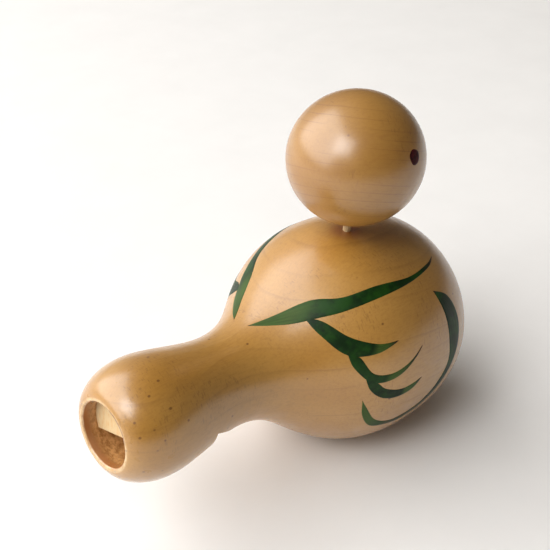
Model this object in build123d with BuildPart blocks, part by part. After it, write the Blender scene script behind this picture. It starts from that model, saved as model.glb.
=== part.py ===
"""Turned wooden bird whistle: gourd-shaped body, fipple block, neck peg and ball head.

Frame: origin at the centre of the base flat, +X to the breast, +Y to the bird's left, +Z up.
The body is turned about one axis, which rises towards the tail. A station is a distance along
that axis from the belly's widest section, positive towards the breast.
"""

import os
from math import cos, radians, sin, tan

from build123d import *

# --- driving dimensions, millimetres and degrees -------------------------------------------------

belly_height = 23.4  # widest section's centre above the base flat
belly_offset = -3.0  # and along X from the flat's centre
tail_up = 7.5  # rise of the turning axis towards the tail
foot_rounding = 0.5

belly_radius = 25.0
nose_length = 27.0  # widest section to the breast
lip_radius = 7.1
lip_rounding = 0.45
mouth = -64.7  # station of the mouthpiece's crest
swell = -55.0  # station where the mouthpiece is fattest
swell_radius = 12.2
waist = -36.8  # station where the neck is thinnest
waist_radius = 9.75

# How far the profile's curves run straight on from each of their ends.
lip_reach = 1.9
swell_reach_back = 6.2
swell_reach = 5.5
waist_reach_back = 6.1
waist_reach = 15.6
belly_reach_back = 19.2
belly_reach = 18.6
nose_reach = 18.2

bore_radius = 6.65
bore_end = 4.0  # station of the bore's blind end
bore_corner = 4.0

roll = 17.2  # windway and window face down, and this much to the bird's right
window_station = -45.4  # upright wall of the window
window_floor = 5.2  # turning axis to the foot of that wall
ramp_angle = 24.7
ramp_length = 12.0

block_recess = 3.2  # mouth to the block's end face
flat_at_mouth = 1.4  # turning axis to the block's sloping flat
flat_at_window = 5.6

head_centre = Vector(-0.45, 0, 65.1)
head_radius = 14.35
short_radius = 13.55
head_lean = 16.5  # of the short axis, towards the tail
roundness = 0.5523  # handle length that makes a quarter ellipse, as a share of its radius
centre_mark = 0.4  # radius of the flat that the lathe leaves at each pole

peg_radius = 0.9
peg_lean = 5.4  # towards the breast
peg_foot_drop = 25.8  # head's centre down to the peg's foot
peg_top_drop = 4.7
peg_chamfer = 0.25
turning_clearance = 0.04  # radial, head on peg

clear_of_wood = 30.0  # how far cutting tools reach past the surface

# --- planes and axes -----------------------------------------------------------------------------


def leaning(angle):
    """Unit vector in the XZ plane that leans from upright towards the breast."""
    return Vector(sin(radians(angle)), 0, cos(radians(angle)))


belly_centre = Vector(belly_offset, 0, belly_height)
along = leaning(90 + tail_up)
turning_axis = Axis(belly_centre, along)
lengthwise = Plane(origin=belly_centre, x_dir=along, z_dir=(0, -1, 0))
rolled_side = lengthwise.z_dir * cos(radians(roll)) + lengthwise.y_dir * sin(radians(roll))
rolled = Plane(origin=belly_centre, x_dir=along, z_dir=rolled_side)
peg_direction = leaning(peg_lean)


def section(station):
    """Plane square to the turning axis, facing the breast."""
    return Plane(origin=belly_centre + along * station, z_dir=along)


def peg_level(drop):
    """Plane square to the peg, a given way below the head's centre."""
    return Plane(origin=head_centre - peg_direction * drop, z_dir=peg_direction)


# --- body: turned outside, bored from the mouth, with the window cut in the underside ------------

bore_start = mouth + lip_rounding
block_end = mouth + block_recess
ramp_toe = window_station + ramp_length
ramp_drop = ramp_length * tan(radians(ramp_angle))

with BuildPart() as body:
    with BuildSketch(lengthwise):
        with BuildLine():
            Bezier(
                (mouth, lip_radius),
                (mouth, lip_radius + lip_reach),
                (swell - swell_reach_back, swell_radius),
                (swell, swell_radius),
            )
            Bezier(
                (swell, swell_radius),
                (swell + swell_reach, swell_radius),
                (waist - waist_reach_back, waist_radius),
                (waist, waist_radius),
            )
            Bezier(
                (waist, waist_radius),
                (waist + waist_reach, waist_radius),
                (-belly_reach_back, belly_radius),
                (0, belly_radius),
            )
            Bezier(
                (0, belly_radius),
                (belly_reach, belly_radius),
                (nose_length, nose_reach),
                (nose_length, 0),
            )
            Polyline((nose_length, 0), (bore_end, 0), (bore_end, bore_radius - bore_corner))
            RadiusArc(
                (bore_end, bore_radius - bore_corner),
                (bore_end - bore_corner, bore_radius),
                -bore_corner,
            )
            Line((bore_end - bore_corner, bore_radius), (bore_start, bore_radius))
            CenterArc((bore_start, lip_radius), lip_radius - bore_radius, 180, 90)
        make_face()
    revolve(axis=turning_axis)
    with BuildSketch(rolled):
        with BuildLine():
            Polyline(
                (window_station, -window_floor),
                (ramp_toe, -window_floor - ramp_drop),
                (ramp_toe, -clear_of_wood),
                (window_station, -clear_of_wood),
                close=True,
            )
        make_face()
    extrude(amount=clear_of_wood, both=True, mode=Mode.SUBTRACT)
    with BuildSketch(peg_level(peg_foot_drop)):
        Circle(peg_radius)
    extrude(amount=clear_of_wood, mode=Mode.SUBTRACT)
    split(bisect_by=Plane.XY, keep=Keep.TOP)
    fillet(body.faces().sort_by(Axis.Z)[0].edges(), radius=foot_rounding)

# --- fipple block: a plug in the mouth's bore, its flat sloping down to the window ---------------

with BuildPart() as fipple_block:
    with BuildSketch(section(block_end)):
        Circle(bore_radius)
    extrude(amount=window_station - block_end)
    with BuildSketch(rolled):
        with BuildLine():
            Polyline(
                (block_end, -flat_at_mouth),
                (window_station, -flat_at_window),
                (window_station, -clear_of_wood),
                (block_end, -clear_of_wood),
                close=True,
            )
        make_face()
    extrude(amount=clear_of_wood, both=True, mode=Mode.SUBTRACT)

# --- neck peg: glued into the back, the head turns on its upper end ------------------------------

with BuildPart() as neck_peg:
    with BuildSketch(peg_level(peg_foot_drop)):
        Circle(peg_radius)
    extrude(amount=peg_foot_drop - peg_top_drop)
    chamfer(neck_peg.edges().filter_by(GeomType.CIRCLE), length=peg_chamfer)

# --- head: a slightly flattened ball with a blind hole for the peg -------------------------------

short_axis = leaning(-head_lean)

with BuildPart() as head:
    with BuildSketch(Plane(origin=head_centre, x_dir=leaning(90 - head_lean), z_dir=(0, -1, 0))):
        with BuildLine():
            Bezier(
                (centre_mark, -short_radius),
                (centre_mark + roundness * (head_radius - centre_mark), -short_radius),
                (head_radius, -roundness * short_radius),
                (head_radius, 0),
            )
            Bezier(
                (head_radius, 0),
                (head_radius, roundness * short_radius),
                (centre_mark + roundness * (head_radius - centre_mark), short_radius),
                (centre_mark, short_radius),
            )
            Polyline(
                (centre_mark, short_radius),
                (0, short_radius),
                (0, -short_radius),
                (centre_mark, -short_radius),
            )
        make_face()
    revolve(axis=Axis(head_centre, short_axis))
    with BuildSketch(peg_level(peg_top_drop)):
        Circle(peg_radius + turning_clearance)
    extrude(amount=-clear_of_wood, mode=Mode.SUBTRACT)

# --- export --------------------------------------------------------------------------------------

os.makedirs("parts", exist_ok=True)
body.part.label = "body"
fipple_block.part.label = "fipple_block"
neck_peg.part.label = "neck_peg"
head.part.label = "head"
export_step(body.part, "parts/body.step")
export_step(fipple_block.part, "parts/fipple_block.step")
export_step(neck_peg.part, "parts/neck_peg.step")
export_step(head.part, "parts/head.step")
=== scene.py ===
"""Turned wooden bird whistle: wood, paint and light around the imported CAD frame.

Lengths are in metres in the row's frame: origin at the centre of the base flat, +X to the breast,
+Y to the bird's left, +Z up. A station is a distance in millimetres along the body's turning axis
from the belly's widest section, positive towards the breast. A turn is an angle in degrees round
that axis from the top of the back, positive to the bird's right.
"""

import math

import bmesh
import bpy
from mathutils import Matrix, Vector
from mathutils.bvhtree import BVHTree


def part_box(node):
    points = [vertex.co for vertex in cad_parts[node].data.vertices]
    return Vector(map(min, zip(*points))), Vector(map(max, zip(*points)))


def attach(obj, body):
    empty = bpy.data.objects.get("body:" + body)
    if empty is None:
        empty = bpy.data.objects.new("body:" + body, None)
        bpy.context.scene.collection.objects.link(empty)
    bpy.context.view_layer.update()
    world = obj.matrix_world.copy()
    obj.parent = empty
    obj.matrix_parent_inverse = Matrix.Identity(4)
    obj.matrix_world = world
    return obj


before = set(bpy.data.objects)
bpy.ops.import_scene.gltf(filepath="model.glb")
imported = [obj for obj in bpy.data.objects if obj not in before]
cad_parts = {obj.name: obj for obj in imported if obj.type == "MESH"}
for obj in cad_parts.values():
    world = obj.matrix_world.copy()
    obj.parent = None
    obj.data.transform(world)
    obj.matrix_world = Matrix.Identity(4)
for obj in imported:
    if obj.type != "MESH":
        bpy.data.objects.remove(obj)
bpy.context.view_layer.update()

MM = 0.001
BUMP_DISTANCE = 0.1 * MM  # height of the materials' relief at a strength of 1

# --- the whistle's own directions and places ------------------------------------------------------

TAIL_UP = math.radians(7.5)
BELLY_CENTRE = Vector((-3.0, 0.0, 23.4)) * MM
ALONG = Vector((math.cos(TAIL_UP), 0.0, -math.sin(TAIL_UP)))
ABOVE = Vector((math.sin(TAIL_UP), 0.0, math.cos(TAIL_UP)))
RIGHT = Vector((0.0, -1.0, 0.0))
MOUTH = -64.7  # station of the mouthpiece's crest
BORE_RADIUS = 6.65  # in millimetres
BORE_END = 4.0  # station of the bore's blind end
PEG_LOW, PEG_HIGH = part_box("neck_peg")
PEG_MIDDLE = (PEG_LOW + PEG_HIGH) / 2
PEG_LEAN_ANGLE = math.radians(5.4)
PEG_LEAN = Vector((math.sin(PEG_LEAN_ANGLE), 0.0, math.cos(PEG_LEAN_ANGLE)))
HEAD_LOW, HEAD_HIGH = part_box("head")
HEAD_CENTRE = (HEAD_LOW + HEAD_HIGH) / 2

# --- camera ---------------------------------------------------------------------------------------

CAMERA_AZIMUTH = math.radians(-43.6)
CAMERA_ELEVATION = math.radians(34.9)
CAMERA_DISTANCE = 0.225
CAMERA_TARGET = Vector((-9.7, 14.1, 33.3)) * MM
SENSOR = 36.0  # width in millimetres
LENS = 65.45  # focal length in millimetres


def towards(azimuth, elevation):
    """Unit vector towards an azimuth, 0 at -Y and turning to +X, and an elevation, in radians."""
    level = math.cos(elevation)
    return Vector((math.sin(azimuth) * level, -math.cos(azimuth) * level, math.sin(elevation)))


def add_camera():
    """A close view from behind the bird's right side, looking down on it."""
    data = bpy.data.cameras.new("camera")
    data.sensor_width = SENSOR
    data.lens = LENS
    data.clip_start = 0.01
    camera = bpy.data.objects.new("camera", data)
    back = towards(CAMERA_AZIMUTH, CAMERA_ELEVATION)
    camera.location = CAMERA_TARGET + back * CAMERA_DISTANCE
    camera.rotation_euler = (-back).to_track_quat("-Z", "Y").to_euler()
    bpy.context.scene.collection.objects.link(camera)
    bpy.context.scene.camera = camera


# --- material building ----------------------------------------------------------------------------


class Graph:
    """A material's node tree, with one short method for each kind of node used here."""

    def __init__(self, name):
        self.material = bpy.data.materials.new(name)
        self.material.use_nodes = True
        self.tree = self.material.node_tree
        self.shader = self.tree.nodes["Principled BSDF"]
        self.relief = 0.0  # a wood's height, for its bump

    def node(self, kind, inputs=(), **settings):
        made = self.tree.nodes.new(kind)
        for key, value in settings.items():
            setattr(made, key, value)
        for key, value in dict(inputs).items():
            self.feed(made.inputs[key], value)
        return made

    def feed(self, socket, value):
        """Links an output, or sets a constant."""
        if isinstance(value, bpy.types.NodeSocket):
            self.tree.links.new(value, socket)
        else:
            socket.default_value = value

    def math(self, operation, a, b, clamp=False):
        made = self.node("ShaderNodeMath", {0: a, 1: b}, operation=operation, use_clamp=clamp)
        return made.outputs[0]

    def product(self, a, b):
        return self.math("MULTIPLY", a, b)

    def vector(self, operation, a, b=(0.0, 0.0, 0.0)):
        made = self.node("ShaderNodeVectorMath", {0: a, 1: b}, operation=operation)
        return made.outputs["Value"] if operation in {"DOT_PRODUCT", "LENGTH"} else made.outputs[0]

    def part(self, point, index):
        """One coordinate of a point."""
        return self.node("ShaderNodeSeparateXYZ", {0: point}).outputs[index]

    def place(self):
        """Where the point is at rest, in millimetres in the row's frame."""
        where = self.node("ShaderNodeTexCoord").outputs["Object"]
        return self.vector("MULTIPLY", where, (1000.0, 1000.0, 1000.0))

    def in_axes(self, centre, first, second, third):
        """The point's place along three directions from a centre in metres, in millimetres."""
        away = self.vector("SUBTRACT", self.place(), tuple(centre / MM))
        parts = [self.vector("DOT_PRODUCT", away, tuple(d)) for d in (first, second, third)]
        return self.node("ShaderNodeCombineXYZ", dict(enumerate(parts))).outputs[0]

    def stretched(self, point, factors):
        return self.vector("MULTIPLY", point, factors)

    def noise(self, point, scale, detail=2.0, roughness=0.5):
        inputs = {"Vector": point, "Scale": scale, "Detail": detail, "Roughness": roughness}
        return self.node("ShaderNodeTexNoise", inputs).outputs["Fac"]

    def voronoi(self, point, scale):
        """Distance to the nearest of many scattered points, as a share of their spacing."""
        inputs = {"Vector": point, "Scale": scale}
        return self.node("ShaderNodeTexVoronoi", inputs).outputs["Distance"]

    def ramp(self, value, low, high, bottom=0.0, top=1.0):
        """Value eased from low..high to bottom..top, held at the ends."""
        ends = {"From Min": low, "From Max": high, "To Min": bottom, "To Max": top}
        inputs = {"Value": value, **ends}
        made = self.node("ShaderNodeMapRange", inputs, interpolation_type="SMOOTHSTEP")
        return made.outputs["Result"]

    def mix(self, amount, a, b):
        """Colour a, going over to colour b as amount rises to 1."""
        made = self.node("ShaderNodeMix", data_type="RGBA")
        self.feed(made.inputs["Factor"], amount)
        self.feed(made.inputs["A"], a)
        self.feed(made.inputs["B"], b)
        return made.outputs["Result"]

    def bump(self, height, strength):
        inputs = {"Height": height, "Strength": strength, "Distance": BUMP_DISTANCE}
        return self.node("ShaderNodeBump", inputs).outputs[0]

    def shade(self, **inputs):
        """Feeds the shader's inputs, named with _ for a space, and returns the material."""
        for key, value in inputs.items():
            self.feed(self.shader.inputs[key.replace("_", " ")], value)
        return self.material


def linear(channel):
    """One channel of a display colour, 0 to 255, as linear light."""
    share = channel / 255
    return ((share + 0.055) / 1.055) ** 2.4 if channel > 10 else share / 12.92


def colour(red, green, blue):
    """A display colour, each channel 0 to 255, as linear RGBA."""
    return (linear(red), linear(green), linear(blue), 1.0)


# --- wood -----------------------------------------------------------------------------------------

LACQUER_WEIGHT = 1.0
LACQUER_ROUGHNESS = 0.27
LACQUER_IOR = 1.7
WOOD_GLOSS = 0.3

# A board has two main tones. The rest are tones of marks, bare wood and wear, and of painted shade
# and highlight.
BODY_BOARD = colour(178, 131, 60), colour(170, 121, 48)
HEAD_BOARD = colour(162, 117, 52), colour(153, 107, 42)
LINE = colour(122, 78, 32)
FLECK = colour(104, 68, 34)
PITH = colour(100, 56, 18)
BARE = colour(204, 154, 96)
BARE_DARK = colour(150, 102, 54)
# The bore's lip: burnished wood, darker also as painted shade.
LIP_WOOD_AND_SHADE = colour(160, 104, 58)
LIP_BAND = 1.0  # how far the burnished lip, darker also as painted shade, reaches into the bore, in millimetres
# Pale rim: wear, lighter also as a painted highlight on its edge.
WEAR_AND_HIGHLIGHT = colour(232, 202, 152)
PEG_SHADE = colour(140, 76, 24)  # painted shade round the peg, under the head
END_GRAIN = colour(208, 182, 138)
# Painted shadow, for the dark gap line inside the mouth's rim.
RIM_SHADOW = colour(116, 66, 30)
RIM_SHADOW_TURN = math.radians(42.0)  # where the painted shadow line in the rim is darkest

# Where each board shows side grain, with its ray flecks, along its own grain, in millimetres.
BODY_SIDE_GRAIN = -70.0, 17.0
HEAD_SIDE_GRAIN = -11.0, 11.0


def growth_layers(graph, local, spacing):
    """0 in the early wood, rising to a thin dark line at the end of each year.

    local is the point with the grain along X and the layers stacked along Z.
    """
    drift = graph.noise(graph.stretched(local, (0.015, 0.03, 0.03)), 1.0, 2.0)
    height = graph.math("ADD", graph.part(local, 2), graph.product(drift, 2.0 * spacing))
    year = graph.math("FRACT", graph.math("DIVIDE", height, spacing), 0.0)
    line = graph.product(graph.ramp(year, 0.80, 0.96), graph.ramp(year, 0.96, 1.0, 1.0, 0.0))
    fading = graph.noise(graph.stretched(local, (0.05, 0.09, 0.22)), 1.0, 1.0)
    return graph.product(line, graph.ramp(fading, 0.36, 0.66))


def ray_flecks(graph, local, side_grain):
    """Short dashes across the grain, gathered in patches between the two ends of the side grain."""
    dashes = graph.noise(graph.stretched(local, (3.4, 1.0, 0.8)), 1.0, 1.0, 0.4)
    patches = graph.ramp(graph.noise(local, 0.10, 1.0), 0.50, 0.62)
    run = graph.part(local, 0)
    start, end = side_grain
    span = graph.product(graph.ramp(run, start, start + 5.0), graph.ramp(run, end, end - 5.0))
    return graph.product(graph.product(graph.ramp(dashes, 0.58, 0.70), patches), span)


def pith_specks(graph, local, scale, size, patches):
    """Small dark dots where patches is 1."""
    away = graph.voronoi(graph.stretched(local, (0.8, 1.0, 1.0)), scale)
    return graph.product(graph.ramp(away, size, size * 0.5), patches)


def board_wood(name, board, centre, grain, layers, spacing, line_strength, side_grain):
    """Close-grained maple-like wood; returns the graph, its local point and its colour.

    grain and layers are the directions along the grain and through the growth layers, spacing is
    how far apart the layers are in millimetres, and line_strength is how dark their lines get.
    The wood's relief is left on the graph.
    """
    graph = Graph(name)
    local = graph.in_axes(centre, grain, layers.cross(grain).normalized(), layers)
    fibre = graph.noise(graph.stretched(local, (0.35, 2.6, 2.6)), 1.0, 3.0, 0.6)
    broad = graph.noise(graph.stretched(local, (0.03, 0.06, 0.08)), 1.0, 2.0)
    mottle = graph.noise(local, 1.1, 3.0, 0.7)
    tone = graph.mix(graph.ramp(broad, 0.35, 0.65), *board)
    tone = graph.mix(graph.ramp(mottle, 0.45, 0.75, 0.0, 0.16), tone, LINE)
    tone = graph.mix(graph.ramp(fibre, 0.40, 0.75, 0.0, 0.20), tone, LINE)
    year = growth_layers(graph, local, spacing)
    tone = graph.mix(graph.product(year, line_strength), tone, LINE)
    tone = graph.mix(graph.product(ray_flecks(graph, local, side_grain), 0.32), tone, FLECK)
    patches = graph.ramp(graph.noise(local, 0.08, 1.0), 0.52, 0.58)
    specks = pith_specks(graph, local, 0.30, 0.10, patches)
    tone = graph.mix(graph.product(specks, 0.8), tone, PITH)
    graph.relief = graph.math("ADD", graph.product(year, -0.5), fibre)
    return graph, local, tone


def lacquer(graph, tone, polish=0.0):
    """Puts a satin lacquer over the colour; polish takes some of the roughness away."""
    wear = graph.noise(graph.place(), 0.25, 3.0, 0.6)
    rough = graph.ramp(wear, 0.3, 0.7, 0.42, 0.54)
    return graph.shade(
        Base_Color=tone,
        Roughness=graph.math("SUBTRACT", rough, polish),
        Specular_IOR_Level=WOOD_GLOSS,
        Coat_IOR=LACQUER_IOR,
        Coat_Weight=LACQUER_WEIGHT,
        Coat_Roughness=LACQUER_ROUGHNESS,
        Normal=graph.bump(graph.relief, 0.10),
    )


def painted_peg_shade(graph, station):
    """How dark the painted shade round the peg is, under the head, on the back only."""
    from_peg = graph.in_axes(PEG_MIDDLE, PEG_LEAN, RIGHT, PEG_LEAN.cross(RIGHT))
    off_peg = graph.vector("LENGTH", graph.stretched(from_peg, (0.0, 1.0, 1.0)))
    on_back = graph.ramp(station, -20.0, -10.0)
    return graph.product(graph.ramp(off_peg, 5.0, 1.4, 0.0, 0.75), on_back)


def bare_bore(graph, station, rough):
    """The bore's colour: rough bare wood behind the burnished lip, which is darker also as painted
    shade.
    """
    bare = graph.mix(graph.ramp(rough, 0.35, 0.65), BARE_DARK, BARE)
    uneven = graph.product(graph.ramp(rough, 0.2, 0.8, 0.0, 1.5), LIP_BAND)
    lip_end = MOUTH + LIP_BAND
    lip = graph.ramp(graph.math("SUBTRACT", station, uneven), lip_end + 0.6, lip_end - 0.6)
    return graph.mix(lip, bare, LIP_WOOD_AND_SHADE)


def rim_wear_and_highlight(graph, station, off_axis, rough):
    """How far the mouth's rim is worn pale: wear, lighter also as a painted highlight on its edge.
    """
    rim = graph.product(
        graph.ramp(station, MOUTH + 0.45, MOUTH + 0.25),
        graph.ramp(off_axis, BORE_RADIUS + 1.0, BORE_RADIUS + 0.55),
    )
    return graph.product(rim, graph.ramp(rough, 0.3, 0.65, 0.1, 0.6))


def painted_rim_shadow(graph, turned, station, off_axis):
    """How dark the painted shadow line is, in the gap inside the rim at its upper right."""
    darkest = (0.0, math.sin(RIM_SHADOW_TURN), math.cos(RIM_SHADOW_TURN))
    facing = graph.math("DIVIDE", graph.vector("DOT_PRODUCT", turned, darkest), off_axis)
    shadow_line = graph.product(
        graph.ramp(facing, 0.86, 0.97, 0.0, 0.85),
        graph.ramp(off_axis, BORE_RADIUS + 0.7, BORE_RADIUS + 0.5),
    )
    return graph.product(shadow_line, graph.ramp(station, MOUTH + 3.0, MOUTH + 2.0))


def body_wood():
    """The body's wood: lacquered outside, bare in the bore, worn at the mouth, with painted shade
    round the peg, in the lip and in the rim, and a painted highlight on the rim.
    """
    layers = (ABOVE + Vector((0.0, 0.14, 0.0))).normalized()
    graph, local, tone = board_wood(
        "body_wood", BODY_BOARD, BELLY_CENTRE, ALONG, layers, 3.8, 0.26, BODY_SIDE_GRAIN
    )
    turned = graph.in_axes(BELLY_CENTRE, ALONG, RIGHT, ABOVE)
    off_axis = graph.vector("LENGTH", graph.stretched(turned, (0.0, 1.0, 1.0)))
    station = graph.part(turned, 0)
    rough = graph.noise(graph.stretched(turned, (1.1, 0.8, 0.8)), 1.0, 4.0, 0.7)
    tail_specks = pith_specks(graph, local, 0.44, 0.15, graph.ramp(station, -48.0, -54.0))
    tone = graph.mix(graph.product(tail_specks, 0.75), tone, PITH)
    # Painted shade round the peg, where the head shades the body.
    tone = graph.mix(painted_peg_shade(graph, station), tone, PEG_SHADE)
    bored = graph.product(
        graph.ramp(off_axis, BORE_RADIUS + 0.3, BORE_RADIUS + 0.1),
        graph.ramp(station, BORE_END + 3.0, BORE_END + 1.0),
    )
    tone = graph.mix(bored, tone, bare_bore(graph, station, rough))
    # Pale rim: wear, and a painted highlight on the edge.
    tone = graph.mix(rim_wear_and_highlight(graph, station, off_axis, rough), tone, WEAR_AND_HIGHLIGHT)
    # Painted shadow line in the gap inside the rim.
    tone = graph.mix(painted_rim_shadow(graph, turned, station, off_axis), tone, RIM_SHADOW)
    return lacquer(graph, tone, graph.ramp(station, -48.0, -58.0, 0.0, 0.16))


def head_wood():
    """The head's wood, cut from a different board: closer rings, seen sloping."""
    layers = Vector((0.33, 0.24, 0.91)).normalized()
    grain = Vector((0.9, -0.3, 0.0))
    grain = (grain - layers * grain.dot(layers)).normalized()
    graph, _, tone = board_wood(
        "head_wood", HEAD_BOARD, HEAD_CENTRE, grain, layers, 1.7, 0.55, HEAD_SIDE_GRAIN
    )
    return lacquer(graph, tone)


def block_wood():
    """Bare pale end grain on the fipple block."""
    graph = Graph("block_wood")
    point = graph.in_axes(BELLY_CENTRE, ALONG, RIGHT, ABOVE)
    pores = graph.voronoi(graph.stretched(point, (0.2, 1.0, 1.0)), 3.0)
    grain = graph.noise(graph.stretched(point, (0.1, 1.6, 0.5)), 1.0, 3.0)
    tone = graph.mix(graph.ramp(grain, 0.4, 0.7, 0.0, 0.5), END_GRAIN, BARE)
    tone = graph.mix(graph.ramp(pores, 0.22, 0.05, 0.0, 0.3), tone, LINE)
    return graph.shade(Base_Color=tone, Roughness=0.75, Normal=graph.bump(pores, 0.2))


def peg_wood():
    """Bare split wood, streaked along the peg."""
    graph = Graph("peg_wood")
    streaks = graph.noise(graph.stretched(graph.place(), (3.0, 3.0, 0.3)), 1.0, 3.0)
    tone = graph.mix(graph.ramp(streaks, 0.35, 0.7), END_GRAIN, BARE_DARK)
    return graph.shade(Base_Color=tone, Roughness=0.6, Normal=graph.bump(streaks, 0.3))


def dress(node, material):
    """Gives a CAD node its material."""
    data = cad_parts[node].data
    data.materials.clear()
    data.materials.append(material)
    for polygon in data.polygons:
        polygon.material_index = 0


# --- paint ----------------------------------------------------------------------------------------

DEEP_GREEN = colour(8, 34, 6)
LEAF_GREEN = colour(22, 60, 9)
OLIVE = colour(72, 96, 36)
LINE_GREEN = colour(56, 54, 16)
TIP_BROWN = colour(44, 26, 12)
EYE_MAROON = colour(66, 4, 10)
EYE_DARK = colour(38, 2, 6)
PAINT_COAT = 0.08
PAINT_GLOSS = 0.2
EYE_GLOSS = 0.1

PAINT_RISE = 0.07 * MM  # the film's crown above the wood
PAINT_TUCK = 0.06 * MM  # its edges stop this far inside the wood
FAR_OUTSIDE = 80 * MM  # where rays at the surface start
WELD = 0.002 * MM  # joins the points of a stroke's tips

CURVE_STEPS = 12  # between two points of a rail
DEGREE_LENGTH = 0.4  # one degree of turn along the belly, in millimetres
STROKE_ROWS = 90
STROKE_COLUMNS = 15


def surface(node):
    """A ray-castable copy of a CAD node's surface."""
    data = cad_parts[node].data
    corners = [v.co.copy() for v in data.vertices]
    return BVHTree.FromPolygons(corners, [tuple(p.vertices) for p in data.polygons])


def on_body(tree, station, turn):
    """The point and outward direction of the body's surface at a station and turn."""
    angle = math.radians(turn)
    outward = ABOVE * math.cos(angle) + RIGHT * math.sin(angle)
    start = BELLY_CENTRE + ALONG * station * MM + outward * FAR_OUTSIDE
    hit, _, _, _ = tree.ray_cast(start, -outward)
    return hit, outward


def paint_height(edge):
    """The film's height above the wood, from its crown, at 0, to its tucked edge, at 1."""
    return PAINT_RISE * (1.0 - edge) - PAINT_TUCK * edge


def catmull_rom(p, q, r, s, t):
    """A smooth step from q to r as t goes from 0 to 1, with p before them and s after."""
    square = (2 * p - 5 * q + 4 * r - s) * t * t
    cube = (3 * q - p - 3 * r + s) * t * t * t
    return 0.5 * (2 * q + (r - p) * t + square + cube)


def smooth_curve(points, count):
    """Evenly spaced samples of a Catmull-Rom curve through (station, turn) points."""
    dense = []
    ends = [points[0], *points, points[-1]]
    for four in zip(ends, ends[1:], ends[2:], ends[3:]):
        for step in range(CURVE_STEPS):
            t = step / CURVE_STEPS
            dense.append(tuple(catmull_rom(*values, t) for values in zip(*four)))
    dense.append(points[-1])
    reach = [0.0]
    for (x0, a0), (x1, a1) in zip(dense, dense[1:]):
        reach.append(reach[-1] + math.hypot(x1 - x0, (a1 - a0) * DEGREE_LENGTH))
    samples = []
    index = 0
    for k in range(count):
        want = reach[-1] * k / (count - 1)
        while index < len(reach) - 2 and reach[index + 1] < want:
            index += 1
        span = reach[index + 1] - reach[index] or 1.0
        t = (want - reach[index]) / span
        samples.append(tuple(p + (q - p) * t for p, q in zip(dense[index], dense[index + 1])))
    return samples


def paint_stroke(name, tree, upper, lower, material):
    """A thin film of paint between two rails on the body, from one tip to the other.

    Each rail is a list of (station, turn) points; both start and end at the stroke's tips.
    """
    rails = [smooth_curve(rail, STROKE_ROWS) for rail in (upper, lower)]
    mesh = bpy.data.meshes.new(name)
    shape = bmesh.new()
    brush = shape.loops.layers.uv.new("brush")
    rows = []
    for a, b in zip(*rails):
        row = []
        for k in range(STROKE_COLUMNS):
            t = 0.5 - 0.5 * math.cos(math.pi * k / (STROKE_COLUMNS - 1))
            station, turn = (p + (q - p) * t for p, q in zip(a, b))
            point, outward = on_body(tree, station, turn)
            edge = abs(2 * t - 1) ** 12
            row.append(shape.verts.new(point + outward * paint_height(edge)))
        rows.append(row)
    for i, (row, after) in enumerate(zip(rows, rows[1:])):
        for k in range(STROKE_COLUMNS - 1):
            face = shape.faces.new((row[k], after[k], after[k + 1], row[k + 1]))
            face.smooth = True
            for loop, (u, v) in zip(face.loops, ((i, k), (i + 1, k), (i + 1, k + 1), (i, k + 1))):
                loop[brush].uv = (u / (STROKE_ROWS - 1), v / (STROKE_COLUMNS - 1))
    bmesh.ops.remove_doubles(shape, verts=shape.verts, dist=WELD)
    bmesh.ops.recalc_face_normals(shape, faces=shape.faces)
    middle = max(shape.faces, key=lambda f: f.calc_area())
    outwards = middle.calc_center_median() - BELLY_CENTRE
    outwards -= ALONG * outwards.dot(ALONG)
    if middle.normal.dot(outwards) < 0:
        bmesh.ops.reverse_faces(shape, faces=shape.faces)
    shape.to_mesh(mesh)
    shape.free()
    stroke = bpy.data.objects.new(name, mesh)
    mesh.materials.append(material)
    bpy.context.scene.collection.objects.link(stroke)
    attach(stroke, "whistle")


# Each stroke's two rails, tip to tip, as (station, turn) points.
STROKES = {
    "long_feather": (
        [
            (-29.6, 1), (-24.5, 12.5), (-19, 21.5), (-14.5, 31.5), (-7.5, 35), (1, 38),
            (8.5, 35.5), (12, 32.5),
        ],
        [
            (-29.6, 1), (-27.5, 14), (-24, 27.5), (-19.5, 35.5), (-14.5, 40), (-6, 41.5),
            (2, 40.5), (9, 37), (12, 32.5),
        ],
    ),
    "second_feather": (
        [(-21.5, 30), (-19.5, 37), (-16.5, 53), (-12, 62), (-7.5, 64)],
        [(-21.5, 30), (-21, 43), (-19, 59), (-16.5, 66), (-12.5, 67.5), (-9, 65.5), (-7.5, 64)],
    ),
    "third_feather": (
        [(-17.5, 62), (-15.5, 67), (-13.5, 77.5), (-10, 80), (-5.5, 77), (-1.5, 71)],
        [(-17.5, 62), (-17, 72), (-14.5, 82), (-11.5, 84.5), (-7.5, 82), (-3.5, 75.5), (-1.5, 71)],
    ),
    "fourth_feather": (
        [(-15, 79), (-12.5, 84), (-10.5, 88.5), (-6.5, 90.5), (-1.5, 88)],
        [(-15, 79), (-14, 88), (-11.5, 94), (-8, 95.5), (-4, 93), (-1.5, 88)],
    ),
    "breast_sweep": (
        [
            (6, 49), (7.5, 62), (8, 76), (8, 91), (3, 106), (-3, 112), (-7, 114), (-11, 110),
            (-14, 99.5), (-15, 95),
        ],
        [
            (6, 49), (10.5, 54), (13, 66), (13, 80), (10.5, 95), (5, 109), (-1.5, 116),
            (-7, 118), (-11, 117), (-14, 107), (-15, 95),
        ],
    ),
}

# How each stroke's paint runs: thin until, thin from, length of its brown tip, its fine line.
PAINT_RUNS = {
    # The long feather's olive first third is thin paint, lighter also as a painted sheen.
    "long_feather": (0.36, 1.2, 0.16, None),
    "second_feather": (0.0, 0.74, 0.14, None),
    "third_feather": (0.0, 0.50, 0.40, None),
    "fourth_feather": (0.0, 0.64, 0.16, None),
    "breast_sweep": (0.0, 0.78, 0.01, (0.46, 0.80)),
}

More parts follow.
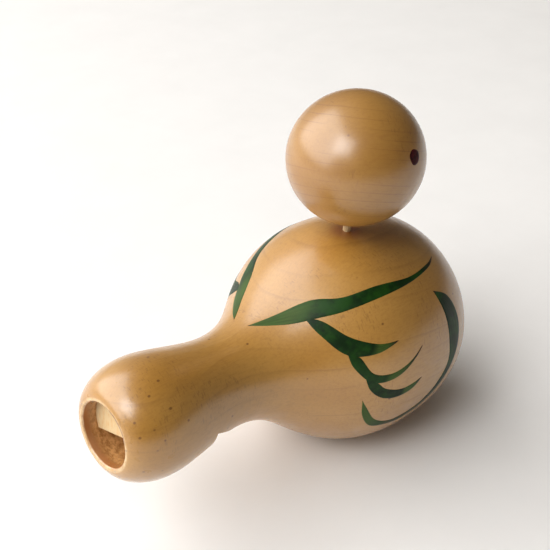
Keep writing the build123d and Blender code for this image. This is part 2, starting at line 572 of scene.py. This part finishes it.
# The left wing is the right one, hung lower: by this many degrees at the breast, and by more
# between two stations on the way to the tail.
LEFT_DROP = 3.0
LEFT_TAIL_DROP = 17.0
LEFT_DROP_START = -8.0
LEFT_DROP_END = -27.0


def left_turn(station, turn):
    """The left wing's turn for a point of the right wing."""
    t = (station - LEFT_DROP_START) / (LEFT_DROP_END - LEFT_DROP_START)
    t = min(max(t, 0.0), 1.0)
    return -(turn + LEFT_DROP + LEFT_TAIL_DROP * t * t * (3.0 - 2.0 * t))


def green_paint(name, thin_until, thin_from, brown, line):
    """Brushed green poster paint: deep where thick, olive where thin, brown at its fine tips.

    The paint is thin before one fraction of the stroke's run and after another; brown is how much
    of the run at the far end is brown, and line is where the stroke is one brown-green line.
    """
    graph = Graph(name)
    brush = graph.node("ShaderNodeUVMap", uv_map="brush").outputs[0]
    run = graph.part(brush, 0)
    streaks = graph.noise(graph.stretched(brush, (5.0, 7.0, 1.0)), 1.0, 3.0, 0.6)
    blots = graph.noise(graph.place(), 0.30, 3.0, 0.6)
    tone = graph.mix(graph.ramp(blots, 0.38, 0.68), DEEP_GREEN, LEAF_GREEN)
    thin = graph.math(
        "ADD",
        graph.ramp(run, thin_until, thin_until - 0.15),
        graph.ramp(run, thin_from, thin_from + 0.08),
    )
    thin = graph.math("MULTIPLY", thin, graph.ramp(streaks, 0.25, 0.7, 0.45, 1.0), clamp=True)
    tone = graph.mix(graph.product(thin, 0.75), tone, OLIVE)
    tone = graph.mix(graph.ramp(streaks, 0.60, 0.80, 0.0, 0.25), tone, OLIVE)
    if line:
        start, end = line
        fine = graph.product(
            graph.ramp(run, start, start + 0.1),
            graph.ramp(run, end, end - 0.05),
        )
        tone = graph.mix(graph.product(fine, 0.85), tone, LINE_GREEN)
    tips = graph.math("ADD", graph.ramp(run, 0.03, 0.0), graph.ramp(run, 1.0 - brown, 1.0))
    return graph.shade(
        Base_Color=graph.mix(tips, tone, TIP_BROWN),
        Roughness=graph.ramp(streaks, 0.3, 0.7, 0.42, 0.55),
        Specular_IOR_Level=PAINT_GLOSS,
        Coat_Weight=PAINT_COAT,
        Coat_Roughness=LACQUER_ROUGHNESS,
        Normal=graph.bump(streaks, 0.12),
    )


def eye_paint():
    """Dark maroon paint for the eye dots."""
    graph = Graph("eye_paint")
    blots = graph.noise(graph.place(), 1.2)
    return graph.shade(
        Base_Color=graph.mix(graph.ramp(blots, 0.35, 0.7), EYE_MAROON, EYE_DARK),
        Roughness=graph.ramp(blots, 0.3, 0.7, 0.42, 0.52),
        Specular_IOR_Level=EYE_GLOSS,
        Normal=graph.bump(blots, 0.15),
    )


EYE_RADIUS = 1.72 * MM
EYE_AZIMUTH = math.radians(81.0)  # round from the breast
EYE_ELEVATION = math.radians(18.7)
EYE_RINGS = 8
EYE_SECTORS = 48


def eye_dot(name, side, tree, material):
    """A slightly uneven brush dot on the head: side is 1 for the left, -1 for the right."""
    level = math.cos(EYE_ELEVATION)
    aim = Vector(
        (
            math.cos(EYE_AZIMUTH) * level,
            side * math.sin(EYE_AZIMUTH) * level,
            math.sin(EYE_ELEVATION),
        )
    )
    across = aim.cross(Vector((0.0, 0.0, 1.0))).normalized()
    upward = across.cross(aim)
    shape = bmesh.new()

    def film(radius, angle):
        wobble = 1.0 + 0.03 * math.sin(3 * angle + side) + 0.02 * math.sin(5 * angle)
        spoke = across * math.cos(angle) + upward * math.sin(angle)
        start = HEAD_CENTRE + spoke * radius * wobble * EYE_RADIUS + aim * FAR_OUTSIDE
        hit, _, _, _ = tree.ray_cast(start, -aim)
        return shape.verts.new(hit + aim * paint_height(radius**8))

    centre = film(0.0, 0.0)
    inner = None
    for ring in range(1, EYE_RINGS + 1):
        circle = [film(ring / EYE_RINGS, math.tau * k / EYE_SECTORS) for k in range(EYE_SECTORS)]
        for k in range(EYE_SECTORS):
            after = (k + 1) % EYE_SECTORS
            if inner is None:
                corners = (centre, circle[k], circle[after])
            else:
                corners = (inner[k], circle[k], circle[after], inner[after])
            shape.faces.new(corners).smooth = True
        inner = circle
    bmesh.ops.recalc_face_normals(shape, faces=shape.faces)
    if shape.faces[0].normal.dot(aim) < 0:
        bmesh.ops.reverse_faces(shape, faces=shape.faces)
    mesh = bpy.data.meshes.new(name)
    shape.to_mesh(mesh)
    shape.free()
    mesh.materials.append(material)
    eye = bpy.data.objects.new(name, mesh)
    bpy.context.scene.collection.objects.link(eye)
    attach(eye, "head_ball")


def paint_bird():
    """Strokes on both sides of the body and an eye on each side of the head."""
    body_surface, head_surface = surface("body"), surface("head")
    maroon = eye_paint()
    for name, (upper, lower) in STROKES.items():
        green = green_paint(f"{name}_paint", *PAINT_RUNS[name])
        paint_stroke(f"{name}_right", body_surface, upper, lower, green)
        mirrored = [[(s, left_turn(s, turn)) for s, turn in rail] for rail in (upper, lower)]
        paint_stroke(f"{name}_left", body_surface, *mirrored, green)
    eye_dot("eye_right", -1.0, head_surface, maroon)
    eye_dot("eye_left", 1.0, head_surface, maroon)


# --- floor and light ------------------------------------------------------------------------------

FLOOR_HALF = 3.0
FLOOR_DROP = 0.02 * MM  # keeps the floor's surface off the base flat
PAPER_GREY = colour(232, 230, 228)
PAPER_WHITE = colour(240, 238, 236)


def add_floor():
    """A wide pale sheet under the whistle."""
    mesh = bpy.data.meshes.new("floor")
    corners = [
        (x * FLOOR_HALF, y * FLOOR_HALF, -FLOOR_DROP)
        for x, y in ((-1, -1), (1, -1), (1, 1), (-1, 1))
    ]
    mesh.from_pydata(corners, [], [(0, 1, 2, 3)])
    floor = bpy.data.objects.new("floor", mesh)
    bpy.context.scene.collection.objects.link(floor)
    graph = Graph("paper")
    fibres = graph.noise(graph.place(), 0.05, 4.0, 0.6)
    paper = graph.shade(Base_Color=graph.mix(fibres, PAPER_GREY, PAPER_WHITE), Roughness=0.8)
    mesh.materials.append(paper)


# Azimuth and elevation in degrees, distance, width and height in metres, and power in watts.
LIGHTS = {
    "window": (-132.0, 41.0, 0.9, 1.5, 1.0, 13.2),
    "pane": (-80.0, 50.0, 0.8, 0.4, 0.4, 2.0),
}


def area_light(name, azimuth, elevation, distance, width, height, power):
    """An upright soft light aimed at the belly."""
    data = bpy.data.lights.new(name, "AREA")
    data.shape = "RECTANGLE"
    data.size, data.size_y = width, height
    data.energy = power
    light = bpy.data.objects.new(name, data)
    back = towards(math.radians(azimuth), math.radians(elevation))
    light.location = BELLY_CENTRE + back * distance
    light.rotation_euler = back.to_track_quat("Z", "Y").to_euler()
    bpy.context.scene.collection.objects.link(light)


WINDOW_SIDE = (-0.69, 0.69, 0.2)  # the room is brightest this way
ROOM_DARK = 0.08
ROOM_BRIGHT = 0.9
ROOM_TINT = (1.0, 0.95, 0.87, 1.0)


def light_scene():
    """A large window on the camera's left, a small pane nearer the camera, and a dim room."""
    world = bpy.data.worlds.new("room")
    bpy.context.scene.world = world
    world.use_nodes = True
    nodes, links = world.node_tree.nodes, world.node_tree.links
    direction = nodes.new("ShaderNodeTexCoord").outputs["Generated"]
    facing = nodes.new("ShaderNodeVectorMath")
    facing.operation = "DOT_PRODUCT"
    links.new(direction, facing.inputs[0])
    facing.inputs[1].default_value = WINDOW_SIDE
    glow = nodes.new("ShaderNodeMapRange")
    glow.interpolation_type = "SMOOTHSTEP"
    links.new(facing.outputs["Value"], glow.inputs["Value"])
    ends = {"From Min": -0.1, "From Max": 0.95, "To Min": ROOM_DARK, "To Max": ROOM_BRIGHT}
    for key, value in ends.items():
        glow.inputs[key].default_value = value
    background = nodes["Background"]
    background.inputs["Color"].default_value = ROOM_TINT
    links.new(glow.outputs["Result"], background.inputs["Strength"])
    for name, placing in LIGHTS.items():
        area_light(name, *placing)


add_camera()
dress("body", body_wood())
dress("head", head_wood())
dress("fipple_block", block_wood())
dress("neck_peg", peg_wood())
paint_bird()
add_floor()
light_scene()

bpy.context.scene.view_settings.view_transform = "Standard"
